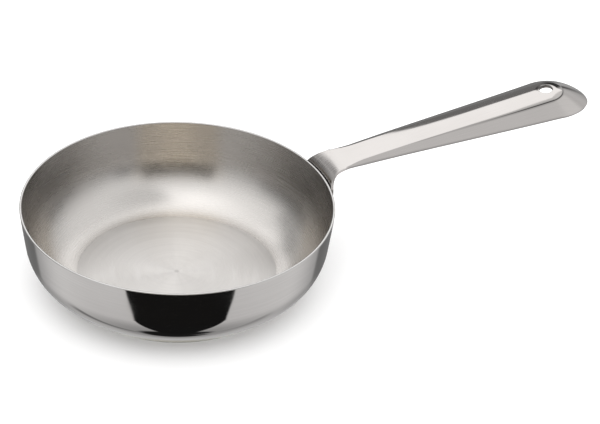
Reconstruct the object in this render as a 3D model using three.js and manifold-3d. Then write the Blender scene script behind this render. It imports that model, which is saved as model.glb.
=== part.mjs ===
// A small stainless-steel frying pan: a thin pressed bowl, a bonded aluminium heat-spreading disc under a
// steel cap, and a pressed sheet handle whose mounting pad is spot welded to the outside of the wall.
// Units are millimetres. The origin is the centre of the base's underside, +Z is up, and the handle runs
// along +X.
import * as THREE from "three";
import { mergeVertices } from "three/addons/utils/BufferGeometryUtils.js";
import Module from "manifold-3d";

const wasm = await Module();
wasm.setup();

// Bowl
const RIM_RADIUS = 70;
const PAN_HEIGHT = 39;
const SHEET = 1; // wall thickness of the bowl
const WALL_LEAN = THREE.MathUtils.degToRad(8); // outward lean of the straight wall
const CORNER_RADIUS = 22.2; // outside radius between wall and floor
const TURN_STEPS = 80; // facets round each turned piece

// Base
const BASE_RADIUS = 51;
const BASE_HEIGHT = 2.7; // underside of the bowl's floor above the table
const CAP_SHEET = 0.5;
const CAP_BEND_STEPS = 4;
const BASE_EDGE_RADIUS = 0.8; // outside bend between the cap's bottom and its lip
const CAP_LIP = 0.25; // height of the cap's lip above the underside of the bowl's floor
const BOND_GAP = 0.1; // room left for each bonded joint
const DISC_CHAMFER = 0.3;

// Handle
const HANDLE_SHEET = 1.2;
const WELD_GAP = 0.5; // between the mounting pad and the wall
const PAD_LOW = 21; // height of the pad's lower edge
const PAD_HALF_WIDTH = 14;
const PAD_CORNER = 5;
const SHOULDER_TAPER = 1.5; // how much each side of the pad draws in towards the bend
const BEND_START = PAN_HEIGHT - 1.5; // the pad starts to bend outwards just below the rim
const BEND_REACH = 0.4; // how far out from the pad the bend's corner lies
const BEND_END = 78; // distance from the pan's axis where the bend ends
const CROWN_START = 74.5; // distance from the pan's axis where STRAP_RISE is measured
const STRAP_RISE = 5; // height of the crown line above the rim at CROWN_START
const NECK_END = 80; // distance from the pan's axis where the strap starts to widen
const NECK_HALF_WIDTH = 8.1;
const NECK_FLARE = 0.9; // extra half width where the strap leaves the bend
const FLARE_FROM = 71.5; // distances from the pan's axis over which the flare fades
const FLARE_TO = 88;
const CROWN_SPAN = 105.5; // length from CROWN_START over which CROWN_RISE and CROWN_ARCH are measured
const CROWN_RISE = 14.2;
const CROWN_ARCH = -1.3;
const DROOP_START = 190;
const TIP_DROOP = 1.2;
const TIP_CENTRE = 185.4; // where the rounded end starts
const TIP_LENGTH = 17.8;
const TIP_HALF_WIDTH = 16.1;
const SPINE_NARROW = 6.5; // half width of the arched spine behind the neck
const SPINE_FROM = 76; // distances from the pan's axis over which the spine draws in from the whole neck
const SPINE_TO = 89;
const SPINE_WIDE = 7.7; // half width of the spine at the hanging hole
const SPINE_SPREAD_START = 110; // distance from the pan's axis where the spine starts to widen
const SPINE_NOSE = 190.7; // where the spine's rounded front ends
const SPINE_ARCH = 1.5; // height of the spine's arch at the hanging hole
const WING_SLOPE = 0.53; // fall of the wings beside the spine, per millimetre
const HOLE_X = 182.7;
const HOLE_RADIUS = 3.15;
const HOLE_STEPS = 28;

// Weld spots
const WELD_RADIUS = 2.2;
const WELD_STEPS = 20;
const WELD_THICKNESS = 0.3;
const WELD_HALF_SPACING = 7.5;
const WELD_HEIGHTS = { lower: 26.5, upper: 34 };

const polished = { roughness: 0.12, metalness: 1 };
const steel = (name, color, finish) => new THREE.MeshStandardMaterial({ name, color, ...finish });
const bodySteel = steel("pan_steel", 0xc9c6c2, polished);
const capSteel = steel("base_steel", 0xb9b8b4, { roughness: 0.35, metalness: 1 });
const handleSteel = steel("handle_steel", 0xd6d2ce, { roughness: 0.22, metalness: 1 });
const discAluminium = steel("disc_aluminium", 0xc4c6c8, { roughness: 0.5, metalness: 1 });
const weldSteel = steel("weld_steel", 0x8d8a86, { roughness: 0.6, metalness: 1 });

const { lerp, smoothstep } = THREE.MathUtils;

// Shared vertices, positions only.
function welded(geometry) {
  const bare = geometry.clone();
  bare.deleteAttribute("normal");
  bare.deleteAttribute("uv");
  return mergeVertices(bare, 1e-4);
}

function toSolid(geometry) {
  const closed = welded(geometry);
  return new wasm.Manifold(
    new wasm.Mesh({
      numProp: 3,
      vertProperties: new Float32Array(closed.attributes.position.array),
      triVerts: new Uint32Array(closed.index.array),
    }),
  );
}

function toGeometry(solid) {
  const mesh = solid.getMesh();
  const geometry = new THREE.BufferGeometry();
  geometry.setAttribute("position", new THREE.BufferAttribute(mesh.vertProperties, 3));
  geometry.setIndex(new THREE.BufferAttribute(mesh.triVerts, 1));
  geometry.computeVertexNormals();
  return geometry;
}

// A LatheGeometry turns its profile about Y, so it is tipped over to turn about Z.
function turned(profile) {
  return welded(new THREE.LatheGeometry(profile, TURN_STEPS).rotateX(Math.PI / 2));
}

function arc(centreR, centreZ, radius, fromAngle, toAngle, steps) {
  const points = [];
  for (let i = 0; i <= steps; i++) {
    const angle = lerp(fromAngle, toAngle, i / steps);
    points.push(new THREE.Vector2(centreR + radius * Math.cos(angle), centreZ + radius * Math.sin(angle)));
  }
  return points;
}

// Radius of the wall's outside face at a height on its straight stretch.
function wallRadius(z) {
  return RIM_RADIUS - (PAN_HEIGHT - z) * Math.tan(WALL_LEAN);
}

// Where the floor ends and the corner begins, so that the wall reaches the rim's radius at full height.
const CORNER_CENTRE_Z = BASE_HEIGHT + CORNER_RADIUS;
const CORNER_TOP = CORNER_CENTRE_Z - CORNER_RADIUS * Math.sin(WALL_LEAN);
const FLOOR_RADIUS = wallRadius(CORNER_TOP) - CORNER_RADIUS * Math.cos(WALL_LEAN);

function panBody() {
  const half = SHEET / 2;
  const rimR = RIM_RADIUS - half * Math.cos(WALL_LEAN);
  const rimZ = PAN_HEIGHT - half;
  const down = -Math.PI / 2;
  const cornerSteps = 12;
  const rimSteps = 6;
  const profile = [
    new THREE.Vector2(0, BASE_HEIGHT),
    ...arc(FLOOR_RADIUS, CORNER_CENTRE_Z, CORNER_RADIUS, down, -WALL_LEAN, cornerSteps),
    ...arc(rimR, rimZ, half, -WALL_LEAN, Math.PI - WALL_LEAN, rimSteps),
    ...arc(FLOOR_RADIUS, CORNER_CENTRE_Z, CORNER_RADIUS - SHEET, -WALL_LEAN, down, cornerSteps),
    new THREE.Vector2(0, BASE_HEIGHT + SHEET),
  ];
  return new THREE.Mesh(turned(profile), bodySteel);
}

// A shallow dish that closes the base and hides the disc's edge.
function baseCap() {
  const lipTop = BASE_HEIGHT + CAP_LIP;
  const inner = BASE_RADIUS - CAP_SHEET;
  const bend = BASE_EDGE_RADIUS;
  const profile = [
    new THREE.Vector2(0, 0),
    ...arc(BASE_RADIUS - bend, bend, bend, -Math.PI / 2, 0, CAP_BEND_STEPS),
    new THREE.Vector2(BASE_RADIUS, lipTop),
    new THREE.Vector2(inner, lipTop),
    ...arc(BASE_RADIUS - bend, bend, bend - CAP_SHEET, 0, -Math.PI / 2, CAP_BEND_STEPS / 2),
    new THREE.Vector2(0, CAP_SHEET),
  ];
  return new THREE.Mesh(turned(profile), capSteel);
}

function heatSpreader() {
  const radius = BASE_RADIUS - CAP_SHEET - 3 * BOND_GAP;
  const low = CAP_SHEET + BOND_GAP;
  const high = BASE_HEIGHT - BOND_GAP;
  const profile = [
    new THREE.Vector2(0, low),
    new THREE.Vector2(radius - DISC_CHAMFER, low),
    new THREE.Vector2(radius, low + DISC_CHAMFER),
    new THREE.Vector2(radius, high),
    new THREE.Vector2(0, high),
  ];
  return new THREE.Mesh(turned(profile), discAluminium);
}

// Height of the handle's crown line, at a distance x from the pan's axis.
function crownHeight(x) {
  const along = (x - CROWN_START) / CROWN_SPAN;
  const past = Math.max(0, x - DROOP_START) / (TIP_CENTRE + TIP_LENGTH - DROOP_START);
  const rise = STRAP_RISE + CROWN_RISE * along + CROWN_ARCH * along ** 2;
  return PAN_HEIGHT + rise - TIP_DROOP * past ** 2;
}

// Half width of the arched spine: the whole strap at the neck, then a band between two creases.
function spineHalfWidth(x) {
  const band = lerp(SPINE_NARROW, SPINE_WIDE, smoothstep(x, SPINE_SPREAD_START, TIP_CENTRE));
  return lerp(NECK_HALF_WIDTH, band, smoothstep(x, SPINE_FROM, SPINE_TO));
}

const NOSE_CENTRE = SPINE_NOSE - SPINE_WIDE;

// How far the sheet falls below the crown line at a point beside or beyond it.
function fall(x, y) {
  const spine = spineHalfWidth(x);
  const reach = Math.hypot(Math.max(0, x - NOSE_CENTRE), y);
  const arch = SPINE_ARCH * smoothstep(x, NECK_END, NOSE_CENTRE);
  const onSpine = Math.min(1, reach / spine);
  return arch * onSpine ** 2 + WING_SLOPE * Math.max(0, reach - spine);
}

// Half width of the handle beyond the bend.
function strapHalfWidth(x) {
  const flare = NECK_FLARE * (1 - smoothstep(x, FLARE_FROM, FLARE_TO));
  const along = Math.max(0, x - NECK_END) / (TIP_CENTRE - NECK_END);
  return NECK_HALF_WIDTH + flare + (TIP_HALF_WIDTH - NECK_HALF_WIDTH) * along;
}

// The handle's sheet is described by stations along its upper face, from the pad's lower edge to the tip.
// A station on the pad or the bend holds a point and a tangent in the handle's upright plane, and how much
// it wraps round the wall. A station beyond the bend holds its distance x from the pan's axis, and how far
// its middle bows towards the tip. Each has a half width.
function padStations(foot, top) {
  const steps = 8;
  const taperFrom = 0.85;
  const stations = [];
  for (let i = 0; i <= steps; i++) {
    const t = i / steps;
    const toCorner = Math.max(0, PAD_CORNER - (BEND_START - PAD_LOW) * t);
    const rounding = PAD_CORNER - Math.sqrt(PAD_CORNER ** 2 - toCorner ** 2);
    const taper = SHOULDER_TAPER * smoothstep(t, taperFrom, 2 - taperFrom);
    stations.push({
      point: foot.clone().lerp(top, t),
      tangent: top.clone().sub(foot).normalize(),
      halfWidth: PAD_HALF_WIDTH - rounding - taper,
      wrap: 1,
    });
  }
  return stations;
}

function bendStations(padTop, widthAtPadTop) {
  const steps = 7;
  const wrapUntil = 0.6;
  const strapSlope = CROWN_RISE / CROWN_SPAN;
  const strapStart = new THREE.Vector2(BEND_END, crownHeight(BEND_END));
  const kneeX = padTop.x + BEND_REACH;
  const knee = new THREE.Vector2(kneeX, strapStart.y - strapSlope * (BEND_END - kneeX));
  const bend = new THREE.QuadraticBezierCurve(padTop, knee, strapStart);
  const stations = [];
  for (let i = 1; i <= steps; i++) {
    const t = i / steps;
    stations.push({
      point: bend.getPoint(t),
      tangent: bend.getTangent(t),
      halfWidth: lerp(widthAtPadTop, strapHalfWidth(BEND_END), Math.sin((t * Math.PI) / 2)),
      wrap: 1 - smoothstep(t, wrapUntil, 1),
    });
  }
  return stations;
}

function strapStations() {
  const steps = 30;
  const stations = [];
  for (let i = 1; i <= steps; i++) {
    const x = lerp(BEND_END, TIP_CENTRE, i / steps);
    stations.push({ x, halfWidth: strapHalfWidth(x), bow: 0 });
  }
  return stations;
}

// The end is half an ellipse. Its stations stop short of the very tip and bow, so that the last is the edge.
function tipStations() {
  const steps = 10;
  const lastAngle = THREE.MathUtils.degToRad(72);
  const stations = [];
  for (let i = 1; i <= steps; i++) {
    const angle = (lastAngle * i) / steps;
    stations.push({
      x: TIP_CENTRE + TIP_LENGTH * Math.sin(angle),
      halfWidth: TIP_HALF_WIDTH * Math.cos(angle),
      bow: (i / steps) ** 2,
    });
  }
  return stations;
}

function handleStations() {
  const padFoot = new THREE.Vector2(wallRadius(PAD_LOW) + WELD_GAP, PAD_LOW);
  const padTop = new THREE.Vector2(wallRadius(BEND_START) + WELD_GAP, BEND_START);
  const pad = padStations(padFoot, padTop);
  const bend = bendStations(padTop, pad.at(-1).halfWidth);
  return [...pad, ...bend, ...strapStations(), ...tipStations()];
}

// Presses a flat blank, gridded along and across, into the handle.
function handleBlank() {
  const stations = handleStations();
  const across = 16;
  const along = stations.length - 1;
  const blank = new THREE.BoxGeometry(along, 2, 1, along, across, 1);
  const position = blank.attributes.position;
  for (let i = 0; i < position.count; i++) {
    const station = stations[Math.round(position.getX(i) + along / 2)];
    const y = sideways(station, position.getY(i));
    const { point, normal } = upperFace(station, y);
    if (position.getZ(i) < 0) point.addScaledVector(normal, -HANDLE_SHEET);
    position.setXYZ(i, point.x, y, point.y);
  }
  return welded(blank);
}

const beyondBend = (station) => station.x !== undefined;

// Distance to the side for a share of the half width, from -1 to 1. The inner half of the rows lies on the
// spine, so that a row follows each crease.
function sideways(station, share) {
  const edge = station.halfWidth;
  const spine = beyondBend(station) ? spineHalfWidth(station.x) : edge;
  const inner = Math.min(spine, edge / 2);
  const outward = 2 * Math.abs(share);
  return Math.sign(share) * (outward < 1 ? inner * outward : lerp(inner, edge, outward - 1));
}

// Point and normal of the sheet's upper face in the upright plane, at a distance y to the side.
function upperFace(station, y) {
  if (!beyondBend(station)) {
    const radius = station.point.x;
    const sag = radius - Math.sqrt(radius ** 2 - y ** 2);
    const point = station.point.clone();
    point.x -= station.wrap * sag;
    return { point, normal: new THREE.Vector2(-station.tangent.y, station.tangent.x) };
  }
  const sine = Math.max(0, (station.x - TIP_CENTRE) / TIP_LENGTH);
  const edgeSine = Math.sqrt(Math.max(0, 1 - (y / TIP_HALF_WIDTH) ** 2));
  const x = station.x + station.bow * TIP_LENGTH * Math.max(0, edgeSine - sine);
  const step = 0.01;
  const slope = (crownHeight(x + step) - crownHeight(x - step)) / (2 * step);
  const point = new THREE.Vector2(x, crownHeight(x) - fall(x, y));
  return { point, normal: new THREE.Vector2(-slope, 1).normalize() };
}

function handle() {
  const drillLength = 12;
  const drill = new THREE.CylinderGeometry(HOLE_RADIUS, HOLE_RADIUS, drillLength, HOLE_STEPS);
  drill.rotateX(Math.PI / 2);
  drill.translate(HOLE_X, 0, crownHeight(HOLE_X));
  const pressed = toSolid(handleBlank()).subtract(toSolid(drill));
  return new THREE.Mesh(toGeometry(pressed), handleSteel);
}

// A fused spot between the pad and the wall, lying along the wall's own normal.
function weldSpot(side, z) {
  const y = side * WELD_HALF_SPACING;
  const azimuth = Math.asin(y / wallRadius(z));
  const outward = new THREE.Vector3(1, 0, 0);
  outward.applyAxisAngle(new THREE.Vector3(0, 1, 0), WALL_LEAN);
  outward.applyAxisAngle(new THREE.Vector3(0, 0, 1), azimuth);
  const middle = wallRadius(z) + WELD_GAP / 2;
  const button = new THREE.CylinderGeometry(WELD_RADIUS, WELD_RADIUS, WELD_THICKNESS, WELD_STEPS);
  const spot = new THREE.Mesh(button, weldSteel);
  spot.quaternion.setFromUnitVectors(new THREE.Vector3(0, 1, 0), outward);
  spot.position.set(middle * Math.cos(azimuth), middle * Math.sin(azimuth), z);
  return spot;
}

const pan = new THREE.Group();

function place(name, mesh) {
  mesh.name = name;
  pan.add(mesh);
}

place("pan_body", panBody());
place("base_cap", baseCap());
place("heat_spreader_disc", heatSpreader());
place("handle", handle());
for (const [level, z] of Object.entries(WELD_HEIGHTS)) {
  place("weld_spot_" + level + "_left", weldSpot(1, z));
  place("weld_spot_" + level + "_right", weldSpot(-1, z));
}

export default pan;
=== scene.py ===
"""A small stainless-steel frying pan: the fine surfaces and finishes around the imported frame.

Everything is in metres, in the frame's own axes: +Z up, the handle along +X, and the origin at the centre of
the base's underside.
"""
import math

import bmesh
import bpy
from mathutils import Matrix, Vector


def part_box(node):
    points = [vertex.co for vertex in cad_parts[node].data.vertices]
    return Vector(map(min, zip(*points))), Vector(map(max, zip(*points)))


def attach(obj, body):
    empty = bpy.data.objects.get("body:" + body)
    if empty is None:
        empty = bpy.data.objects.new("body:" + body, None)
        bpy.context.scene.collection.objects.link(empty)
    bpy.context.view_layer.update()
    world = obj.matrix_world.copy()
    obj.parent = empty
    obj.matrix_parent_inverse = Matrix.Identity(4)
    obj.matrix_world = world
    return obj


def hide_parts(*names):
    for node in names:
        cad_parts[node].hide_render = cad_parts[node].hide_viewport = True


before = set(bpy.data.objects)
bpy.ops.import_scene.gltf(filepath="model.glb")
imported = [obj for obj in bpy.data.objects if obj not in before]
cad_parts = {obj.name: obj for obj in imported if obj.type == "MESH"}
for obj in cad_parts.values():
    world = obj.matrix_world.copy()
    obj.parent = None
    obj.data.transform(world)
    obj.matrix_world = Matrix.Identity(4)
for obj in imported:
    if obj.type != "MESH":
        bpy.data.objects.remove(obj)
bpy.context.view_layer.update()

MM = 0.001

# Bowl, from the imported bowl's box
BOWL_LOW, BOWL_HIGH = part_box("pan_body")
RIM_RADIUS = BOWL_HIGH.x
PAN_HEIGHT = BOWL_HIGH.z
FLOOR_LOW = BOWL_LOW.z
SHEET = 1 * MM
RIM_ROUND = 0.28 * MM            # the ground rim's rounded corners
WALL_LEAN = math.radians(8)
WALL_BULGE = math.radians(0.7)   # the spun wall's slight bulge, as the turn at each end of its outside
CORNER_RADIUS = 22.2 * MM
INNER_CORNER = 24.2 * MM         # radius of the corner's inside
FLOOR_CREASE = math.radians(4)   # the slight angle at which the corner meets the flat floor
TURN_STEPS = 288                 # columns of faces round a turned piece
CORNER_HOLD = 0.12 * MM          # distance from a profile's corner to the row that keeps its shading flat
CORNER_STEPS = 40
LIP_STEPS = 8
UNDERSIDE_ROWS = 12
OUTER_WALL_ROWS = 24
INNER_WALL_ROWS = 8
FLOOR_ROWS = 24

# Base cap
CAP_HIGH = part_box("base_cap")[1]
BASE_RADIUS = CAP_HIGH.x
CAP_LIP_TOP = CAP_HIGH.z
CAP_SHEET = 0.5 * MM
CAP_LIP_ROUND = 0.15 * MM
BASE_EDGE_RADIUS = 0.8 * MM
CAP_FLOOR_ROWS = 16
CAP_BEND_STEPS = 10
CAP_INNER_BEND_STEPS = 6
CAP_LIP_STEPS = 4

# Handle
HANDLE_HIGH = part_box("handle")[1]
HANDLE_SHEET = 1.2 * MM
WELD_GAP = 0.5 * MM
PAD_LOW = 21 * MM
PAD_HALF_WIDTH = 14 * MM
PAD_CORNER = 5 * MM
SHOULDER_TAPER = 1.5 * MM
BEND_START = PAN_HEIGHT - 1.5 * MM
BEND_END = 78 * MM
BEND_REACH = 0.4 * MM
STRAP_START = 74.5 * MM
STRAP_RISE = 5 * MM
NECK_END = 80 * MM
NECK_HALF_WIDTH = 8.1 * MM
NECK_FLARE = 0.9 * MM
FLARE_FROM = 71.5 * MM    # distances from the pan's axis over which the neck's flare fades
FLARE_TO = 88 * MM
CROWN_SPAN = 105.5 * MM
CROWN_RISE = 14.2 * MM
CROWN_ARCH = -1.3 * MM
DROOP_START = 190 * MM
TIP_DROOP = 1.2 * MM
TIP_HALF_WIDTH = HANDLE_HIGH.y
TIP_LENGTH = 17.8 * MM
TIP_CENTRE = HANDLE_HIGH.x - TIP_LENGTH
SPINE_NARROW = 6.5 * MM
SPINE_WIDE = 7.7 * MM
SPINE_SPREAD_START = 110 * MM
SPINE_FROM = 76 * MM      # distances over which the spine draws in from the whole neck
SPINE_TO = 89 * MM
SPINE_ARCH = 1.65 * MM
NOSE_CENTRE = 183 * MM
WING_SLOPE = 0.53
STEP_FALL = 0.45 * MM     # drop of the pressed step between the spine and the wings, at the nose
STEP_WIDTH = 0.45 * MM
STEP_START = 105 * MM     # where the step starts to show
HOLE_RADIUS = 3.15 * MM
DIMPLE_RADIUS = 5.0 * MM  # the hole's edge is pressed in a little
DIMPLE_DEPTH = 0.2 * MM
EDGE_ROUND = 0.45 * MM    # rounding of the sheared edges
EDGE_ROW = 0.72 * MM      # width of the narrow row that keeps the shading flat beside them
EDGE_STEPS = 4
EDGE_ANGLE = math.radians(55)    # edges that turn more than this are rounded
SLACK = 0.0001 * MM              # vertices closer than this are one

# Rows of the handle's faces, from the middle outwards
SPINE_ROWS = 14
STEP_ROWS = 5
WING_ROWS = 12

# Camera, as seen from the pan: where it stands, what it aims at, and how it is turned. The values are a fit
# to the pan's outline, rounded.
VIEW_AZIMUTH = math.radians(-113.5)
VIEW_ELEVATION = math.radians(34.22)
VIEW_DISTANCE = 1.7955
VIEW_AIM = Vector((0.06051, 0.0004, 0.02))
VIEW_ROLL = math.radians(1.76)
LENS = 240           # millimetres
SENSOR_WIDTH = 36    # millimetres
VIEW_END = 20


def lerp(a, b, t):
    return a + (b - a) * t


def smoothstep(x, low, high):
    t = min(1.0, max(0.0, (x - low) / (high - low)))
    return t * t * (3 - 2 * t)


# ---------------------------------------------------------------- meshes


def arc(centre_r, centre_z, radius, start, end, steps):
    """Points (radius, height) along an arc in the turned profile's plane."""
    turns = [lerp(start, end, i / steps) for i in range(steps + 1)]
    return [(centre_r + radius * math.cos(t), centre_z + radius * math.sin(t)) for t in turns]


def straight(start, end, steps, bulge=0.0):
    """Points between two points of a profile, both left out, with one close beside each end, so that the
    shading stays flat between them. The line can bulge to its right by a small angle at each end."""
    length = math.dist(start, end)
    beside = CORNER_HOLD / length
    across = ((end[1] - start[1]) / length, (start[0] - end[0]) / length)
    points = []
    for share in [beside] + [i / steps for i in range(1, steps)] + [1 - beside]:
        out = math.tan(bulge) * length * share * (1 - share)
        points.append(tuple(lerp(start[i], end[i], share) + across[i] * out for i in range(2)))
    return points


def new_object(name, bm):
    mesh = bpy.data.meshes.new(name)
    bm.normal_update()
    bm.to_mesh(mesh)
    bm.free()
    mesh.shade_smooth()
    piece = bpy.data.objects.new(name, mesh)
    bpy.context.scene.collection.objects.link(piece)
    return piece


def turned(name, stretches):
    """A closed solid of revolution. stretches is a list of (points, material index); the first point and the
    last lie on the axis, and faces between two stretches take the later one's index."""
    bm = bmesh.new()
    rows = []
    for points, index in stretches:
        for radius, z in points:
            if radius == 0:
                ring = [bm.verts.new((0, 0, z))] * TURN_STEPS
            else:
                ring = []
                for i in range(TURN_STEPS):
                    turn = 2 * math.pi * i / TURN_STEPS
                    ring.append(bm.verts.new((radius * math.cos(turn), radius * math.sin(turn), z)))
            rows.append((ring, index))
    for (low, _), (high, index) in zip(rows, rows[1:]):
        for i in range(TURN_STEPS):
            j = (i + 1) % TURN_STEPS
            corners = list(dict.fromkeys((low[i], low[j], high[j], high[i])))
            face = bm.faces.new(corners)
            face.material_index = index
    return new_object(name, bm)


def wall_radius(z):
    """Radius of the wall's outside face at a height on its straight stretch."""
    return RIM_RADIUS - (PAN_HEIGHT - z) * math.tan(WALL_LEAN)


CORNER_CENTRE_Z = FLOOR_LOW + CORNER_RADIUS
CORNER_TOP = CORNER_CENTRE_Z - CORNER_RADIUS * math.sin(WALL_LEAN)
FLOOR_RADIUS = wall_radius(CORNER_TOP) - CORNER_RADIUS * math.cos(WALL_LEAN)


def make_bowl():
    outside, rim, inside, cooking_floor = range(4)
    down = -math.pi / 2
    rim_z = PAN_HEIGHT - RIM_ROUND
    corner_end = -WALL_LEAN - WALL_BULGE
    outer_corner = arc(FLOOR_RADIUS, CORNER_CENTRE_Z, CORNER_RADIUS, down, corner_end, CORNER_STEPS)
    lip = arc(RIM_RADIUS - RIM_ROUND, rim_z, RIM_ROUND, -WALL_LEAN, -down, LIP_STEPS)
    lip += arc(RIM_RADIUS - SHEET + RIM_ROUND, rim_z, RIM_ROUND, -down, math.pi - WALL_LEAN, LIP_STEPS)
    floor_top = FLOOR_LOW + SHEET
    inner_z = floor_top + INNER_CORNER * math.cos(FLOOR_CREASE)
    inner_r = wall_radius(inner_z) - (SHEET + INNER_CORNER) / math.cos(WALL_LEAN)
    inner_corner = arc(inner_r, inner_z, INNER_CORNER, -WALL_LEAN, down + FLOOR_CREASE, CORNER_STEPS)
    return turned("pan_body_fine", [
        ([(0, FLOOR_LOW)] + straight((0, FLOOR_LOW), outer_corner[0], UNDERSIDE_ROWS), outside),
        (outer_corner + straight(outer_corner[-1], lip[0], OUTER_WALL_ROWS, WALL_BULGE), outside),
        (lip, rim),
        (straight(lip[-1], inner_corner[0], INNER_WALL_ROWS) + inner_corner, inside),
        (straight(inner_corner[-1], (0, floor_top), FLOOR_ROWS) + [(0, floor_top)], cooking_floor),
    ])


def make_cap():
    inner = BASE_RADIUS - CAP_SHEET
    bend = BASE_EDGE_RADIUS
    centre = BASE_RADIUS - bend
    down = -math.pi / 2
    lip_z = CAP_LIP_TOP - CAP_LIP_ROUND
    lip = arc(BASE_RADIUS - CAP_LIP_ROUND, lip_z, CAP_LIP_ROUND, 0, -down, CAP_LIP_STEPS)
    inner_bend = arc(centre, bend, bend - CAP_SHEET, 0, down, CAP_INNER_BEND_STEPS)
    return turned("base_cap_fine", [
        ([(0, 0)] + straight((0, 0), (centre, 0), CAP_FLOOR_ROWS), 0),
        (arc(centre, bend, bend, down, 0, CAP_BEND_STEPS) + lip, 0),
        ([(inner, CAP_LIP_TOP)] + inner_bend, 0),
        ([(0, CAP_SHEET)], 0),
    ])


# ---------------------------------------------------------------- handle


def crown_height(x):
    """Height of the upper face along the middle of the strap."""
    along = (x - STRAP_START) / CROWN_SPAN
    past = max(0.0, x - DROOP_START) / (TIP_CENTRE + TIP_LENGTH - DROOP_START)
    return PAN_HEIGHT + STRAP_RISE + CROWN_RISE * along + CROWN_ARCH * along**2 - TIP_DROOP * past**2


def spine_half_width(x):
    band = lerp(SPINE_NARROW, SPINE_WIDE, smoothstep(x, SPINE_SPREAD_START, TIP_CENTRE))
    return lerp(NECK_HALF_WIDTH, band, smoothstep(x, SPINE_FROM, SPINE_TO))


def fall(x, y):
    """How far the sheet falls below the crown line at a point beside or beyond it."""
    spine = spine_half_width(x)
    reach = math.hypot(max(0.0, x - NOSE_CENTRE), y)
    arch = SPINE_ARCH * smoothstep(x, NECK_END, NOSE_CENTRE) * min(1.0, reach / spine) ** 2
    step = STEP_FALL * smoothstep(x, STEP_START, NOSE_CENTRE)
    step *= smoothstep(reach, spine, spine + STEP_WIDTH)
    to_hole = math.hypot(x - NOSE_CENTRE, y)
    dimple = DIMPLE_DEPTH * (1 - smoothstep(to_hole, HOLE_RADIUS, DIMPLE_RADIUS))
    return arch + step + dimple + WING_SLOPE * max(0.0, reach - spine)


def strap_half_width(x):
    flare = NECK_FLARE * (1 - smoothstep(x, FLARE_FROM, FLARE_TO))
    along = max(0.0, x - NECK_END) / (TIP_CENTRE - NECK_END)
    if x <= TIP_CENTRE:
        return NECK_HALF_WIDTH + flare + (TIP_HALF_WIDTH - NECK_HALF_WIDTH) * along
    return TIP_HALF_WIDTH * math.sqrt(max(0.0, 1 - ((x - TIP_CENTRE) / TIP_LENGTH) ** 2))


def end_reach(turn):
    """Distance from the nose's centre to the handle's outline, at an angle from +X."""
    low, high = 0.0, 2 * TIP_LENGTH
    halvings = 40
    for _ in range(halvings):
        middle = (low + high) / 2
        x = NOSE_CENTRE + middle * math.cos(turn)
        inside = x < TIP_CENTRE + TIP_LENGTH and middle * math.sin(turn) < strap_half_width(x)
        low, high = (middle, high) if inside else (low, middle)
    return low


def row_places(start, crease, edge):
    """Distances from the middle outwards for one rib's vertices: over the spine, down the step, and out over
    the wing, with a last narrow row beside the edge."""
    wing = min(crease + STEP_WIDTH, edge - 2 * EDGE_ROUND)
    holding = edge - EDGE_ROW
    places = [lerp(start, crease, i / SPINE_ROWS) for i in range(SPINE_ROWS)]
    places += [lerp(crease, wing, i / STEP_ROWS) for i in range(STEP_ROWS)]
    places += [lerp(wing, holding, i / WING_ROWS) for i in range(WING_ROWS + 1)]
    return places + [edge]


def sheet_ribs():
    """One side's ribs of the handle's upper face, from the pad's foot to the nose, each a list of points from
    the middle to the edge."""
    ribs = []
    foot = Vector((wall_radius(PAD_LOW) + WELD_GAP, PAD_LOW))
    top = Vector((wall_radius(BEND_START) + WELD_GAP, BEND_START))
    strap_start = Vector((BEND_END, crown_height(BEND_END)))
    knee_x = top.x + BEND_REACH
    knee = Vector((knee_x, strap_start.y - CROWN_RISE / CROWN_SPAN * (BEND_END - knee_x)))
    crease_inset = 0.9
    crease_share = crease_inset * spine_half_width(BEND_END) / strap_half_width(BEND_END)

    def plain_rib(point, half_width, wrap):
        rib = []
        for y in row_places(0, half_width * crease_share, half_width):
            sag = point.x - math.sqrt(point.x**2 - y**2)
            rib.append((point.x - wrap * sag, y, point.y))
        ribs.append(rib)

    pad_steps = 36
    crowding = 1.3    # sets the pad's ribs closer together at its rounded foot
    taper_from = 0.85
    for i in range(pad_steps + 1):
        t = (i / pad_steps) ** crowding
        to_corner = max(0.0, PAD_CORNER - (BEND_START - PAD_LOW) * t)
        rounding = PAD_CORNER - math.sqrt(PAD_CORNER**2 - to_corner**2)
        taper = SHOULDER_TAPER * smoothstep(t, taper_from, 2 - taper_from)
        half_width = PAD_HALF_WIDTH - rounding - taper
        plain_rib(foot.lerp(top, t), half_width, 1)

    bend_steps = 28
    wrap_until = 0.6
    for i in range(1, bend_steps + 1):
        t = i / bend_steps
        point = top * (1 - t) ** 2 + knee * 2 * t * (1 - t) + strap_start * t**2
        width = lerp(half_width, strap_half_width(BEND_END), math.sin(t * math.pi / 2))
        plain_rib(point, width, 1 - smoothstep(t, wrap_until, 1))

    least_wing = 0.07    # the wing's width at the narrow neck, as a share of the half width
    settled = BEND_END + 6 * MM

    def strap_rib(x):
        edge = strap_half_width(x)
        start = math.sqrt(max(0.0, HOLE_RADIUS**2 - (x - NOSE_CENTRE) ** 2))
        crease = min(spine_half_width(x), (1 - least_wing) * edge)
        settle = smoothstep(x, BEND_END, settled)
        crease = lerp(edge * crease_share, crease, settle)
        ribs.append([(x, y, crown_height(x) - fall(x, y)) for y in row_places(start, crease, edge)])

    strap_steps = 130
    hole_low = NOSE_CENTRE - HOLE_RADIUS
    for i in range(1, strap_steps + 1):
        strap_rib(lerp(BEND_END, hole_low, i / strap_steps))
    hole_steps = 14
    for i in range(1, hole_steps + 1):
        strap_rib(NOSE_CENTRE - HOLE_RADIUS * math.cos(i / hole_steps * math.pi / 2))
    return ribs


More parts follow.
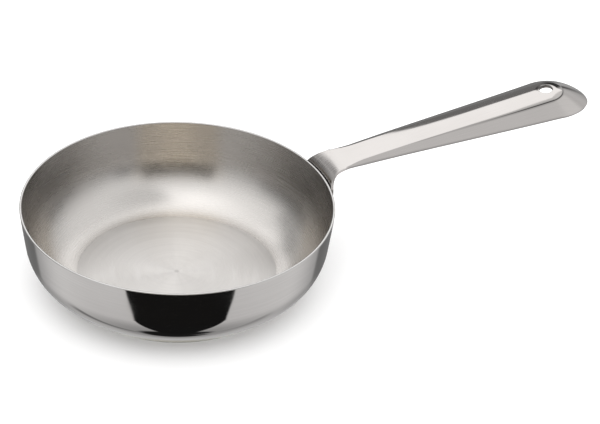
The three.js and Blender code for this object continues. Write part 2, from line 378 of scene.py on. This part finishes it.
def nose_ribs():
    """Ribs that turn round the nose, from +Y to +X, without the first."""
    steps = 30
    ribs = []
    for i in range(1, steps + 1):
        turn = math.pi / 2 * (1 - i / steps)
        rib = []
        for reach in row_places(HOLE_RADIUS, SPINE_WIDE, end_reach(turn)):
            x = NOSE_CENTRE + reach * math.cos(turn)
            y = reach * math.sin(turn)
            rib.append((x, y, crown_height(x) - fall(x, y)))
        ribs.append(rib)
    return ribs


def mark_painted_shade(grid, shade_layer):
    """Marks the vertices that get painted shade: down the pressed step and round the hole."""
    for rib in grid:
        for row in range(SPINE_ROWS, SPINE_ROWS + STEP_ROWS + 1):
            shown = smoothstep(rib[row].co.x, STEP_START, NOSE_CENTRE)
            rib[row][shade_layer] = shown * math.sin(math.pi * (row - SPINE_ROWS + 0.5) / (STEP_ROWS + 1))
        if math.hypot(rib[0].co.x - NOSE_CENTRE, rib[0].co.y) < HOLE_RADIUS + SLACK:
            rib[0][shade_layer] = 1


def make_handle():
    half = sheet_ribs() + nose_ribs()
    mirrored = [[(x, -y, z) for x, y, z in rib] for rib in reversed(half[:-1])]
    ribs = half + mirrored
    bm = bmesh.new()
    uv = bm.loops.layers.uv.new("Brushing")
    # A layer that sets where the handle gets painted shade, in the crease and round the hole
    shade_layer = bm.verts.layers.float.new("PaintedShade")
    grid = [[bm.verts.new(point) for point in rib] for rib in ribs]
    mark_painted_shade(grid, shade_layer)
    along = [0.0]
    for low, high in zip(half, half[1:]):
        middle = SPINE_ROWS
        along.append(along[-1] + (Vector(high[middle]) - Vector(low[middle])).length)
    along += along[-2::-1]
    rows = len(ribs[0])
    for a in range(len(ribs) - 1):
        for row in range(rows - 1):
            places = ((a, row), (a, row + 1), (a + 1, row + 1), (a + 1, row))
            face = bm.faces.new([grid[rib][place] for rib, place in places])
            for loop, (rib, place) in zip(face.loops, places):
                loop[uv].uv = (ribs[rib][place][1], along[rib])
    bmesh.ops.remove_doubles(bm, verts=bm.verts, dist=SLACK)
    bmesh.ops.recalc_face_normals(bm, faces=bm.faces)
    if min(bm.faces, key=distance_from_crown).normal.z < 0:
        bmesh.ops.reverse_faces(bm, faces=bm.faces)
    piece = new_object("handle_fine", bm)
    thicken = piece.modifiers.new("Sheet", "SOLIDIFY")
    thicken.thickness = HANDLE_SHEET
    thicken.offset = -1
    thicken.use_even_offset = True
    thicken.material_offset_rim = 1
    deburr = piece.modifiers.new("Deburred edge", "BEVEL")
    deburr.width = EDGE_ROUND
    deburr.segments = EDGE_STEPS
    deburr.limit_method = "ANGLE"
    deburr.angle_limit = EDGE_ANGLE
    bake_modifiers(piece)
    piece.data.shade_smooth()
    return piece


def distance_from_crown(face):
    """How far a face is from the middle of the strap's upper face."""
    x = (NECK_END + TIP_CENTRE) / 2
    return (face.calc_center_median() - Vector((x, 0, crown_height(x)))).length


def bake_modifiers(piece):
    """Replaces a piece's mesh by the one its modifiers make."""
    bpy.context.view_layer.update()
    shaped = piece.evaluated_get(bpy.context.evaluated_depsgraph_get())
    mesh = bpy.data.meshes.new_from_object(shaped)
    piece.modifiers.clear()
    piece.data = mesh


# ---------------------------------------------------------------- materials


class Nodes:
    """A short way to write a node tree."""

    def __init__(self, tree):
        self.tree = tree

    def add(self, kind, inputs=None, **settings):
        node = self.tree.nodes.new(kind)
        for key, value in settings.items():
            setattr(node, key, value)
        for key, value in (inputs or {}).items():
            self.feed(self.socket(node.inputs, key), value)
        return node

    def socket(self, sockets, key):
        """A socket by name or place; of several with one name, the one that is switched on."""
        if isinstance(key, int):
            return sockets[key]
        return next(socket for socket in sockets if socket.name == key and socket.enabled)

    def feed(self, socket, value):
        if isinstance(value, bpy.types.NodeSocket):
            self.tree.links.new(value, socket)
        else:
            socket.default_value = value

    def math(self, operation, a, b=0.0, c=0.0):
        node = self.add("ShaderNodeMath", operation=operation)
        for socket, value in zip(node.inputs, (a, b, c)):
            self.feed(socket, value)
        return node.outputs[0]

    def spread(self, value, low, high, to_low, to_high):
        inputs = {"Value": value, "From Min": low, "From Max": high, "To Min": to_low, "To Max": to_high}
        return self.add("ShaderNodeMapRange", inputs, interpolation_type="SMOOTHSTEP").outputs["Result"]

    def vector(self, x, y, z):
        return self.add("ShaderNodeCombineXYZ", {"X": x, "Y": y, "Z": z}).outputs[0]

    def noise(self, vector, scale, detail=2.0, roughness=0.5):
        inputs = {"Vector": vector, "Scale": scale, "Detail": detail, "Roughness": roughness}
        return self.add("ShaderNodeTexNoise", inputs).outputs["Fac"]


# Variation shared by every steel. A range is (from, to, value at from, value at to), and LINES_DULL takes its
# values from the material's own roughness.
SMUDGE_SCALE = 45.0
SMUDGE_DULLS = (0.3, 0.75, -0.015, 0.03)
SMUDGE_SHADES = (0.3, 0.7, -0.015, 0.015)
LINES_DULL = (0.25, 0.75)
LINES_SHADE = (0.2, 0.8, 0.96, 1.02)
QUARTER_TURN = 0.25
CREASE_SHADE_LEVEL = 0.3        # brightness left where the painted shade is darkest

# Handle's root, duller round the bend
ROOT_END = STRAP_START + 6 * MM
ROOT_DULLS = 0.14

# Bowl's wall: two darker sectors and a warm tint, placed by the distance from the axis across the camera's
# view, as a share of the rim's radius. They are painted shade, which the studio's light doesn't give there.
SHADE_TURN = VIEW_AZIMUTH + math.pi / 2
WALL_FADE = (9 * MM, 24 * MM, 0.0, 1.0)
SHADE_RIGHT = (0.3, 0.95, 0.0, 0.5)
SHADE_LEFT = (-0.95, -0.4, 0.36, 0.0)
TINT_WIDTH = (0.16, 0.36, 1.0, 0.0)
WALL_LEVEL = 1.06
WALL_TINT = (1.1, 1.04, 0.94)

# Floors: broad turned rings, a faint fan of painted sheen and a dark spot in the middle
BROAD_RINGS = 420
RINGS_SHADE = (0.3, 0.7, 0.965, 1.04)
RINGS_DULL = (0.3, 0.7, -0.035, 0.035)
FAN_SCALE = 1.7
FAN_SHADES = (0.3, 0.7, -0.04, 0.04)
FAN_FADE = (3 * MM, 24 * MM, 1.0, 0.0)
CENTRE_SPOT = (0.4 * MM, 1.6 * MM, 0.78, 1.0)
AXIS_SLACK = 0.1 * MM


def steel(name, colour, roughness, lines, line_depth, spread=0.05, anisotropy=0.0, tangent=None, marks_and_shade=None):
    """Steel with fine lines. lines(nodes, place) gives the texture vector in which the lines run, line_depth
    their depth, and spread how much they change the roughness. tangent(nodes, shader) says which way they
    stretch a highlight. The last argument, a function of (nodes, place), gives an extra roughness and a
    colour to multiply by; the colour holds marks, painted shade and painted sheen."""
    material = bpy.data.materials.new(name)
    material.use_nodes = True
    tree = material.node_tree
    tree.nodes.clear()
    nodes = Nodes(tree)
    place = nodes.add("ShaderNodeTexCoord").outputs["Object"]
    fine = nodes.noise(lines(nodes, place), scale=1.0, detail=3.0, roughness=0.65)
    smudge = nodes.noise(place, SMUDGE_SCALE, detail=3.0)
    rough = nodes.spread(fine, *LINES_DULL, roughness - spread, roughness + spread)
    rough = nodes.math("ADD", rough, nodes.spread(smudge, *SMUDGE_DULLS))
    shade = nodes.math("ADD", nodes.spread(fine, *LINES_SHADE), nodes.spread(smudge, *SMUDGE_SHADES))
    tint = nodes.add("ShaderNodeVectorMath", {0: colour, "Scale": shade}, operation="SCALE")
    if marks_and_shade:
        extra, marks_and_shade_colour = marks_and_shade(nodes, place)
        rough = nodes.math("ADD", rough, extra)
        tint = nodes.add("ShaderNodeVectorMath", {0: tint.outputs[0], 1: marks_and_shade_colour}, operation="MULTIPLY")
    bump = nodes.add("ShaderNodeBump", {"Height": fine, "Strength": 1.0, "Distance": line_depth})
    shader = nodes.add("ShaderNodeBsdfPrincipled", {
        "Base Color": tint.outputs[0],
        "Metallic": 1.0,
        "Roughness": rough,
        "Normal": bump.outputs[0],
        "Anisotropic": anisotropy,
    })
    if tangent:
        tangent(nodes, shader)
    output = nodes.add("ShaderNodeOutputMaterial")
    tree.links.new(shader.outputs[0], output.inputs["Surface"])
    return material


def axis_distance(nodes, x, y):
    return nodes.math("SQRT", nodes.math("ADD", nodes.math("MULTIPLY", x, x), nodes.math("MULTIPLY", y, y)))


def rings(per_metre, round_share):
    """Lines that run round the pan's axis; round_share breaks them up along their length."""

    def vector(nodes, place):
        x, y, z = nodes.add("ShaderNodeSeparateXYZ", {"Vector": place}).outputs
        across = nodes.math("MULTIPLY", axis_distance(nodes, x, y), per_metre)
        upward = nodes.math("MULTIPLY", z, per_metre)
        outward = nodes.add("ShaderNodeVectorMath", {0: place}, operation="NORMALIZE").outputs[0]
        turn_x, turn_y, _ = nodes.add("ShaderNodeSeparateXYZ", {"Vector": outward}).outputs
        shift = nodes.math("MULTIPLY", turn_x, round_share)
        lift = nodes.math("MULTIPLY", turn_y, round_share)
        return nodes.vector(nodes.math("ADD", across, shift), nodes.math("ADD", upward, lift), lift)

    return vector


def handle_lines(across_per_metre, along_per_metre):
    """Lines that run along the handle's sheet."""

    def vector(nodes, place):
        uv = nodes.add("ShaderNodeUVMap", uv_map="Brushing").outputs[0]
        u, v, _ = nodes.add("ShaderNodeSeparateXYZ", {"Vector": uv}).outputs
        across = nodes.math("MULTIPLY", u, across_per_metre)
        along = nodes.math("MULTIPLY", v, along_per_metre)
        return nodes.vector(across, along, 0.0)

    return vector


def round_axis(nodes, shader):
    """Highlights stretch across lines that run round the axis."""
    tangent = nodes.add("ShaderNodeTangent", direction_type="RADIAL", axis="Z")
    nodes.tree.links.new(tangent.outputs[0], shader.inputs["Tangent"])
    shader.inputs["Anisotropic Rotation"].default_value = QUARTER_TURN


def across_sheet(nodes, shader):
    """Highlights stretch across lines that run along the handle."""
    tangent = nodes.add("ShaderNodeTangent", direction_type="UV_MAP", uv_map="Brushing")
    nodes.tree.links.new(tangent.outputs[0], shader.inputs["Tangent"])


def crease_painted_shade(nodes):
    """Painted shade: darker in the crease round the spine and round the hole."""
    crease = nodes.add("ShaderNodeAttribute", attribute_name="PaintedShade").outputs["Fac"]
    dark = nodes.spread(crease, 0.0, 1.0, 1.0, CREASE_SHADE_LEVEL)
    return nodes.vector(dark, dark, dark)


def dull_root_and_crease_shade(nodes, place):
    """Duller round the bend at the handle's root, with the painted shade of the crease and the hole."""
    x = nodes.add("ShaderNodeSeparateXYZ", {"Vector": place}).outputs[0]
    return nodes.spread(x, STRAP_START, ROOT_END, ROOT_DULLS, 0.0), crease_painted_shade(nodes)


# The sheared edge: no extra roughness, and the same painted shade of the crease and the hole
def edge_crease_shade(nodes, place):
    return 0.0, crease_painted_shade(nodes)


def shaded_wall(nodes, place):
    """Two darker sectors and a warm tint between them, painted on by the camera's direction."""
    x, y, z = nodes.add("ShaderNodeSeparateXYZ", {"Vector": place}).outputs
    sideways = nodes.math("ADD", nodes.math("MULTIPLY", x, math.cos(SHADE_TURN) / RIM_RADIUS),
                          nodes.math("MULTIPLY", y, math.sin(SHADE_TURN) / RIM_RADIUS))
    height = nodes.spread(z, *WALL_FADE)
    shade = nodes.math("ADD", nodes.spread(sideways, *SHADE_RIGHT), nodes.spread(sideways, *SHADE_LEFT))
    level = nodes.math("SUBTRACT", WALL_LEVEL, nodes.math("MULTIPLY", shade, height))
    middle = nodes.spread(nodes.math("ABSOLUTE", sideways), *TINT_WIDTH)
    warmth = nodes.math("MULTIPLY", middle, height)
    tint = [nodes.math("MULTIPLY", level, nodes.spread(warmth, 0.0, 1.0, 1.0, hue)) for hue in WALL_TINT]
    return 0.0, nodes.vector(*tint)


def rings_and_painted_fan(nodes, place):
    """Broad turned rings, and round the middle a faint fan of lighter and darker sectors that is painted
    sheen.
    """
    lines = rings(BROAD_RINGS, round_share=0.5)
    broad = nodes.noise(lines(nodes, place), scale=1.0, detail=4.0, roughness=0.65)
    x, y, _ = nodes.add("ShaderNodeSeparateXYZ", {"Vector": place}).outputs
    radius = axis_distance(nodes, x, y)
    turn_x, turn_y = (nodes.math("DIVIDE", part, nodes.math("ADD", radius, AXIS_SLACK)) for part in (x, y))
    sectors = nodes.noise(nodes.vector(turn_x, turn_y, 0.0), FAN_SCALE)
    fan = nodes.math("MULTIPLY", nodes.spread(sectors, *FAN_SHADES), nodes.spread(radius, *FAN_FADE))
    tone = nodes.math("ADD", nodes.spread(broad, *RINGS_SHADE), fan)
    tone = nodes.math("MULTIPLY", tone, nodes.spread(radius, *CENTRE_SPOT))
    return nodes.spread(broad, *RINGS_DULL), nodes.vector(tone, tone, tone)


def give(piece, *materials):
    """Fills a piece's material slots in order, and keeps the slot each face already names."""
    slots = piece.data.materials
    for place, material in enumerate(materials):
        if place < len(slots):
            slots[place] = material
        else:
            slots.append(material)


# ---------------------------------------------------------------- stage


# All angles in degrees. The ground's brightness: from elevation, to elevation, and its two values.
GROUND = (-80.0, -30.0, 0.42, 1.05)

# How the studio's brightness changes above it: (from elevation, to elevation, new brightness)
SKY = [
    (-28.0, 2.0, 0.6),
    (15.0, 50.0, 1.15),
    (50.0, 85.0, 1.8),
]

# (azimuth, elevation, half azimuth, half elevation, softness, brightness), azimuth 0 behind the pan as the
# camera sees it. The patches were set one by one for the reflections seen from the camera.
STUDIO = [
    (88, 58, 60, 26, 12, 1.0),      # grey wall on the right
    (88, 77, 60, 11, 6, 0.91),      # its darker top
    (124, 74, 32, 14, 16, 0.72),    # and a shaded part of it, nearer the camera
    (26, 16, 36, 14, 12, 0.8),      # low grey wall behind, to the right
    (-86, -2, 28, 24, 8, 0.24),     # dark gap on the left
    (-4, 51, 32, 24, 2, 1.62),      # main soft box, behind and above
    (-50, 34, 27, 7, 4, 0.42),      # a shaded strip beside and below it
    (0, -32, 55, 26, 26, 0.32),     # the table's far side, in shade
    (0, -34, 42, 7, 3, 0.2),        # and its dark edge
    (-12, 2, 20, 27, 2, 0.24),      # dark studio behind the pan
    (10, 10, 9, 17, 4, 0.05),       # a black corner there
    (180, 20, 29, 18, 2, 0.04),     # dark gap round the camera
    (142, 2, 10, 22, 4, 0.25),      # and a narrow one beside it
    (0, -90, 181, 12, 2, 0.015),    # the shadow straight below
    (0, -54, 22, 11, 3, 0.6),       # the lit table behind the pan's foot
    (0, -61, 46, 8, 4, 0.6),        # the same, wider, nearer the foot
    (0, -41, 6, 7, 3, 0.5),         # and narrower, further off
    (-62, -66, 8, 12, 4, 0.26),     # edges of the shadow round the foot
    (66, -70, 9, 12, 4, 0.4),
]

# The black gap under the camera, wider in its upper part: from elevation, to elevation, and half widths
GAP_CENTRE = (176.8, -68)
GAP_HALF_ELEVATION = 26
GAP_FLARE = (-52.4, -47.6, 40, 45.8)
GAP_SOFTNESS = 1
GAP_BRIGHTNESS = 0.012

# The camera's side of the room is warmer
WARM = (180, -5, 34, 45, 12)
WARM_COLOUR = (1.0, 0.95, 0.89, 1.0)
WHITE = (1.0, 1.0, 1.0, 1.0)

EVEN_LIGHT = 1.6          # strength of the light on everything matt
FLOOR_HALF_SIZE = 4
FLOOR_COLOUR = (0.97, 0.97, 0.97, 1)


def patch(nodes, azimuth, elevation, at_azimuth, at_elevation, half_azimuth, half_elevation, soft):
    """1 inside a window of directions, in degrees, and 0 outside."""
    turn = nodes.math("WRAP", nodes.math("SUBTRACT", azimuth, at_azimuth), 180.0, -180.0)
    rise = nodes.math("SUBTRACT", elevation, at_elevation)
    past_side = nodes.math("SUBTRACT", nodes.math("ABSOLUTE", turn), half_azimuth)
    past_top = nodes.math("SUBTRACT", nodes.math("ABSOLUTE", rise), half_elevation)
    in_turn = nodes.spread(past_side, -soft, soft, 1.0, 0.0)
    in_rise = nodes.spread(past_top, -soft, soft, 1.0, 0.0)
    return nodes.math("MULTIPLY", in_turn, in_rise)


def make_world():
    """Even white light for everything matt, and a studio of soft boxes and dark gaps that only glossy rays
    see, laid out round the camera's direction."""
    world = bpy.data.worlds.new("Studio")
    bpy.context.scene.world = world
    world.use_nodes = True
    world.cycles.sampling_method = "NONE"
    tree = world.node_tree
    tree.nodes.clear()
    nodes = Nodes(tree)
    direction = nodes.add("ShaderNodeTexCoord").outputs["Generated"]
    turned_round = nodes.add("ShaderNodeVectorRotate", {"Vector": direction, "Axis": (0, 0, 1),
                             "Angle": -math.pi / 2 - VIEW_AZIMUTH}, rotation_type="AXIS_ANGLE").outputs[0]
    x, y, z = nodes.add("ShaderNodeSeparateXYZ", {"Vector": turned_round}).outputs
    azimuth = nodes.math("DEGREES", nodes.math("ARCTAN2", x, y))
    elevation = nodes.math("DEGREES", nodes.math("ARCSINE", z))
    level = nodes.spread(elevation, *GROUND)
    for low, high, brightness in SKY:
        level = nodes.spread(elevation, low, high, level, brightness)
    gap_width = nodes.spread(elevation, *GAP_FLARE)
    gap = (*GAP_CENTRE, gap_width, GAP_HALF_ELEVATION, GAP_SOFTNESS, GAP_BRIGHTNESS)
    for *window, brightness in STUDIO + [gap]:
        mask = patch(nodes, azimuth, elevation, *window)
        level = nodes.add("ShaderNodeMix", {"Factor": mask, "A": level, "B": brightness}).outputs["Result"]
    glossy = nodes.add("ShaderNodeLightPath").outputs["Is Glossy Ray"]
    warmth = nodes.math("MULTIPLY", glossy, patch(nodes, azimuth, elevation, *WARM))
    tint = nodes.add("ShaderNodeMix", {"Factor": warmth, "A": WHITE, "B": WARM_COLOUR}, data_type="RGBA")
    strength = nodes.add("ShaderNodeMix", {"Factor": glossy, "A": EVEN_LIGHT, "B": level}).outputs["Result"]
    background = nodes.add("ShaderNodeBackground", {"Color": tint.outputs[2], "Strength": strength})
    output = nodes.add("ShaderNodeOutputWorld")
    tree.links.new(background.outputs[0], output.inputs["Surface"])


def make_floor():
    bm = bmesh.new()
    bmesh.ops.create_grid(bm, x_segments=1, y_segments=1, size=FLOOR_HALF_SIZE)
    floor = new_object("floor", bm)
    material = bpy.data.materials.new("pale_floor")
    material.use_nodes = True
    shader = material.node_tree.nodes["Principled BSDF"]
    shader.inputs["Base Color"].default_value = FLOOR_COLOUR
    shader.inputs["Roughness"].default_value = 1.0
    shader.inputs["Specular IOR Level"].default_value = 0.0
    floor.data.materials.append(material)
    floor.visible_glossy = False


def make_camera():
    reach = VIEW_DISTANCE * math.cos(VIEW_ELEVATION)
    location = Vector((reach * math.cos(VIEW_AZIMUTH), reach * math.sin(VIEW_AZIMUTH),
                       VIEW_DISTANCE * math.sin(VIEW_ELEVATION)))
    data = bpy.data.cameras.new("camera")
    data.lens = LENS
    data.sensor_width = SENSOR_WIDTH
    data.clip_end = VIEW_END
    camera = bpy.data.objects.new("camera", data)
    bpy.context.scene.collection.objects.link(camera)
    level = (VIEW_AIM - location).to_track_quat("-Z", "Y").to_matrix().to_4x4()
    camera.matrix_world = Matrix.Translation(location) @ level @ Matrix.Rotation(VIEW_ROLL, 4, "Z")
    bpy.context.scene.camera = camera


# ---------------------------------------------------------------- the pan

make_camera()
make_world()
make_floor()
bpy.context.scene.view_settings.view_transform = "Standard"

inside = steel("pan_inside", (0.6, 0.578, 0.556), roughness=0.27, lines=rings(3200, 3.0),
               line_depth=0.0013 * MM, spread=0.025, anisotropy=0.82, tangent=round_axis, marks_and_shade=shaded_wall)
cooking_floor = steel("pan_floor", (0.625, 0.607, 0.59), roughness=0.35, lines=rings(2200, 2.0),
                      line_depth=0.002 * MM, spread=0.03, anisotropy=0.84, tangent=round_axis,
                      marks_and_shade=rings_and_painted_fan)
outside = steel("pan_outside", (0.55, 0.532, 0.52), roughness=0.045, lines=rings(1500, 2.0),
                line_depth=0.0003 * MM, spread=0.01, anisotropy=0.3, tangent=round_axis)
rim = steel("pan_rim", (0.54, 0.53, 0.52), roughness=0.2, lines=rings(1500, 2.0), line_depth=0.001 * MM,
            spread=0.03, anisotropy=0.2, tangent=round_axis)
satin = steel("base_satin", (0.66, 0.66, 0.63), roughness=0.42, lines=rings(3000, 2.0), line_depth=0.004 * MM,
              anisotropy=0.5, tangent=round_axis, marks_and_shade=rings_and_painted_fan)
brushed = steel("handle_brushed", (0.52, 0.497, 0.482), roughness=0.07, lines=handle_lines(3500, 60),
                line_depth=0.002 * MM, spread=0.07, anisotropy=0.5, tangent=across_sheet, marks_and_shade=dull_root_and_crease_shade)
sheared = steel("sheared_edge", (0.56, 0.55, 0.54), roughness=0.3, lines=handle_lines(900, 900),
                line_depth=0.004 * MM, marks_and_shade=edge_crease_shade)
rolled = steel("rolled_aluminium", (0.78, 0.79, 0.80), roughness=0.45, lines=rings(900, 1.0),
               line_depth=0.004 * MM)
fused = steel("fused_steel", (0.4, 0.39, 0.37), roughness=0.6, lines=rings(4000, 40.0), line_depth=0.01 * MM,
              spread=0.1)

bowl = make_bowl()
give(bowl, outside, rim, inside, cooking_floor)
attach(bowl, "root")
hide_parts("pan_body")

cap = make_cap()
give(cap, satin)
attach(cap, "root")
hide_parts("base_cap")

handle = make_handle()
give(handle, brushed, sheared)
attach(handle, "root")
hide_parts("handle")

give(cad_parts["heat_spreader_disc"], rolled)
for level in ("lower", "upper"):
    for side in ("left", "right"):
        give(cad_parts[f"weld_spot_{level}_{side}"], fused)
